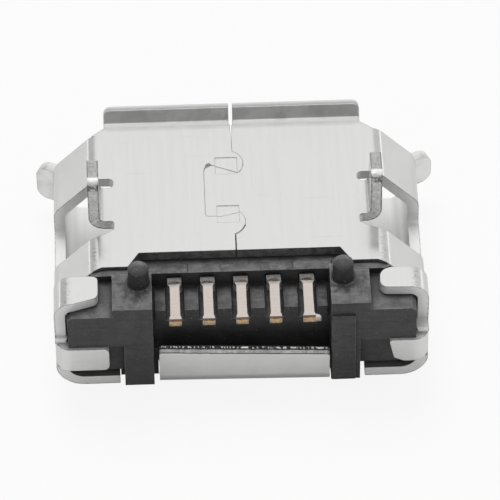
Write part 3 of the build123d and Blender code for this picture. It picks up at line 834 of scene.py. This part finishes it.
def pale_floor(settings):
    """White studio floor that keeps a soft shadow."""
    mix = Recipe("pale_floor")
    ray = mix.add("ShaderNodeLightPath").outputs
    mirrored = mix.larger(ray["Is Glossy Ray"], ray["Is Transmission Ray"])
    share = mix.larger(mix.times(ray["Is Camera Ray"], 0.89), mix.times(mirrored, 0.10))
    paper = mix.add("ShaderNodeBsdfDiffuse", Color=grey(0.66), Roughness=0.5)
    glow = mix.add("ShaderNodeEmission", Color=grey(1.0), Strength=1.0)
    both = mix.add("ShaderNodeMixShader")
    for socket, value in zip(both.inputs, (share, paper.outputs[0], glow.outputs[0])):
        mix.feed(socket, value)

    reach = settings.floor_size / 2
    low = cad_box[0][2]
    corners = [(-reach, -reach, low), (reach, -reach, low), (reach, reach, low), (-reach, reach, low)]
    floor = stage_piece("floor", corners, [(0, 1, 2, 3)], mix.end(both))


def grey_surround(settings):
    """Low studio wall around the table, dark behind the camera, which the metal mirrors."""
    reach = settings.surround_reach
    low = cad_box[0][2]
    high = reach * math.tan(settings.surround_angle)
    mix = Recipe("grey_surround")
    span = reach / MM
    rise = mix.math("DIVIDE", mix.minus(mix.z, low / MM), span)
    tone = mix.times(mix.band(mix.y, -0.55 * span, 0.2 * span, 0.34, 0.68),
                     mix.band(mix.x, -0.6 * span, 0.6 * span, 0.80, 1.0))
    bright_strip = mix.times(mix.between(rise, 0.04, 0.06, 0.12, 0.15), mix.band(mix.y, 0, 0.3 * span), 1.1)
    glow = mix.add("ShaderNodeEmission", Color=grey(1.0), Strength=mix.plus(tone, bright_strip))

    sides = 72
    ring = [(reach * math.cos(2 * math.pi * step / sides), reach * math.sin(2 * math.pi * step / sides))
            for step in range(sides)]
    points = [(x, y, low) for x, y in ring] + [(x, y, high) for x, y in ring]
    faces = [(step, (step + 1) % sides, sides + (step + 1) % sides, sides + step) for step in range(sides)]
    wall = stage_piece("surround", points, faces, mix.end(glow))
    wall.visible_camera = False
    wall.visible_shadow = False


def soft_world():
    """White room that lights softly and shows white to the camera and in mirrors."""
    world = bpy.data.worlds.new("studio")
    world.use_nodes = True
    nodes = world.node_tree.nodes
    links = world.node_tree.links
    ray = nodes.new("ShaderNodeLightPath").outputs
    seen = ray["Is Camera Ray"]
    for kind in ("Is Glossy Ray", "Is Transmission Ray"):
        larger = nodes.new("ShaderNodeMath")
        larger.operation = "MAXIMUM"
        links.new(seen, larger.inputs[0])
        links.new(ray[kind], larger.inputs[1])
        seen = larger.outputs[0]
    level = nodes.new("ShaderNodeMapRange")
    level.inputs["To Min"].default_value = 0.6
    level.inputs["To Max"].default_value = 1.0
    links.new(seen, level.inputs["Value"])
    background = nodes["Background"]
    background.inputs["Color"].default_value = (1.0, 1.0, 1.0, 1.0)
    links.new(level.outputs[0], background.inputs["Strength"])
    bpy.context.scene.world = world


def soft_lamp(name, place, size, power):
    """A square soft box aimed at the socket."""
    data = bpy.data.lights.new(name, "AREA")
    data.shape = "SQUARE"
    data.size = size
    data.energy = power
    lamp = bpy.data.objects.new(name, data)
    lamp.location = place
    lamp.rotation_euler = (-Vector(place)).to_track_quat("-Z", "Y").to_euler()
    lamp.visible_glossy = False
    bpy.context.scene.collection.objects.link(lamp)


def photo_camera(settings):
    """Camera at the photograph's place and angle."""
    turn, tilt, roll = settings.turn, settings.tilt, settings.roll
    view = Vector((math.sin(turn) * math.cos(tilt), math.cos(turn) * math.cos(tilt), -math.sin(tilt)))
    right = Vector((math.cos(turn), -math.sin(turn), 0))
    up = right.cross(view)
    ahead = (FOCAL_PIXELS * view + PICTURE_RIGHT * right + PICTURE_UP * up).normalized()
    above = math.sin(roll) * right + math.cos(roll) * up
    above = (above - above.dot(ahead) * ahead).normalized()
    turned = Matrix((ahead.cross(above), above, -ahead)).transposed()
    data = bpy.data.cameras.new("camera")
    data.sensor_fit = "HORIZONTAL"
    data.sensor_width = 36
    data.lens = settings.lens
    data.clip_start = 0.01
    data.clip_end = 10
    camera = bpy.data.objects.new("camera", data)
    camera.matrix_world = Matrix.Translation(settings.camera_place) @ turned.to_4x4()
    bpy.context.scene.collection.objects.link(camera)
    bpy.context.scene.camera = camera


class SOCKET_OT_set_stage(bpy.types.Operator):
    """Puts the socket on a pale floor in soft light and sets the camera"""
    bl_idname = "socket.set_stage"
    bl_label = "Set stage"

    def execute(self, context):
        settings = context.scene.socket_stage
        pale_floor(settings)
        grey_surround(settings)
        soft_world()
        soft_lamp("key_lamp", settings.key_place, settings.key_size, settings.key_power)
        photo_camera(settings)
        context.scene.view_settings.view_transform = "Standard"
        return {"FINISHED"}


class SOCKET_PT_parts(bpy.types.Panel):
    """Lists the pieces of the socket and what can be changed on each"""
    bl_idname = "SOCKET_PT_parts"
    bl_label = "Socket"
    bl_space_type = "VIEW_3D"
    bl_region_type = "UI"
    bl_category = "Socket"

    def draw(self, context):
        for operator, group in steps:
            box = self.layout.box()
            box.operator(operator)
            settings = getattr(context.scene, group)
            for key in settings.__annotations__:
                box.prop(settings, key)


steps = (
    ("socket.dress_shell", "socket_shell"),
    ("socket.dress_housing", "socket_housing"),
    ("socket.dress_contacts", "socket_contacts"),
    ("socket.set_stage", "socket_stage"),
)
groups = {
    "socket_shell": SOCKET_PG_shell,
    "socket_housing": SOCKET_PG_housing,
    "socket_contacts": SOCKET_PG_contacts,
    "socket_stage": SOCKET_PG_stage,
}
classes = (
    *groups.values(),
    SOCKET_OT_dress_shell,
    SOCKET_OT_dress_housing,
    SOCKET_OT_dress_contacts,
    SOCKET_OT_set_stage,
    SOCKET_PT_parts,
)


def register():
    """Makes the settings, the operators and the panel known to Blender."""
    for entry in classes:
        bpy.utils.register_class(entry)
    for name, group in groups.items():
        setattr(bpy.types.Scene, name, PointerProperty(type=group))


def unregister():
    """Takes the settings, the operators and the panel out again."""
    for name in groups:
        delattr(bpy.types.Scene, name)
    for entry in reversed(classes):
        bpy.utils.unregister_class(entry)


def main():
    """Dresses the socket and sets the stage."""
    register()
    bpy.ops.socket.dress_shell()
    bpy.ops.socket.dress_housing()
    bpy.ops.socket.dress_contacts()
    bpy.ops.socket.set_stage()
    bpy.context.view_layer.update()


if __name__ == "__main__":
    main()
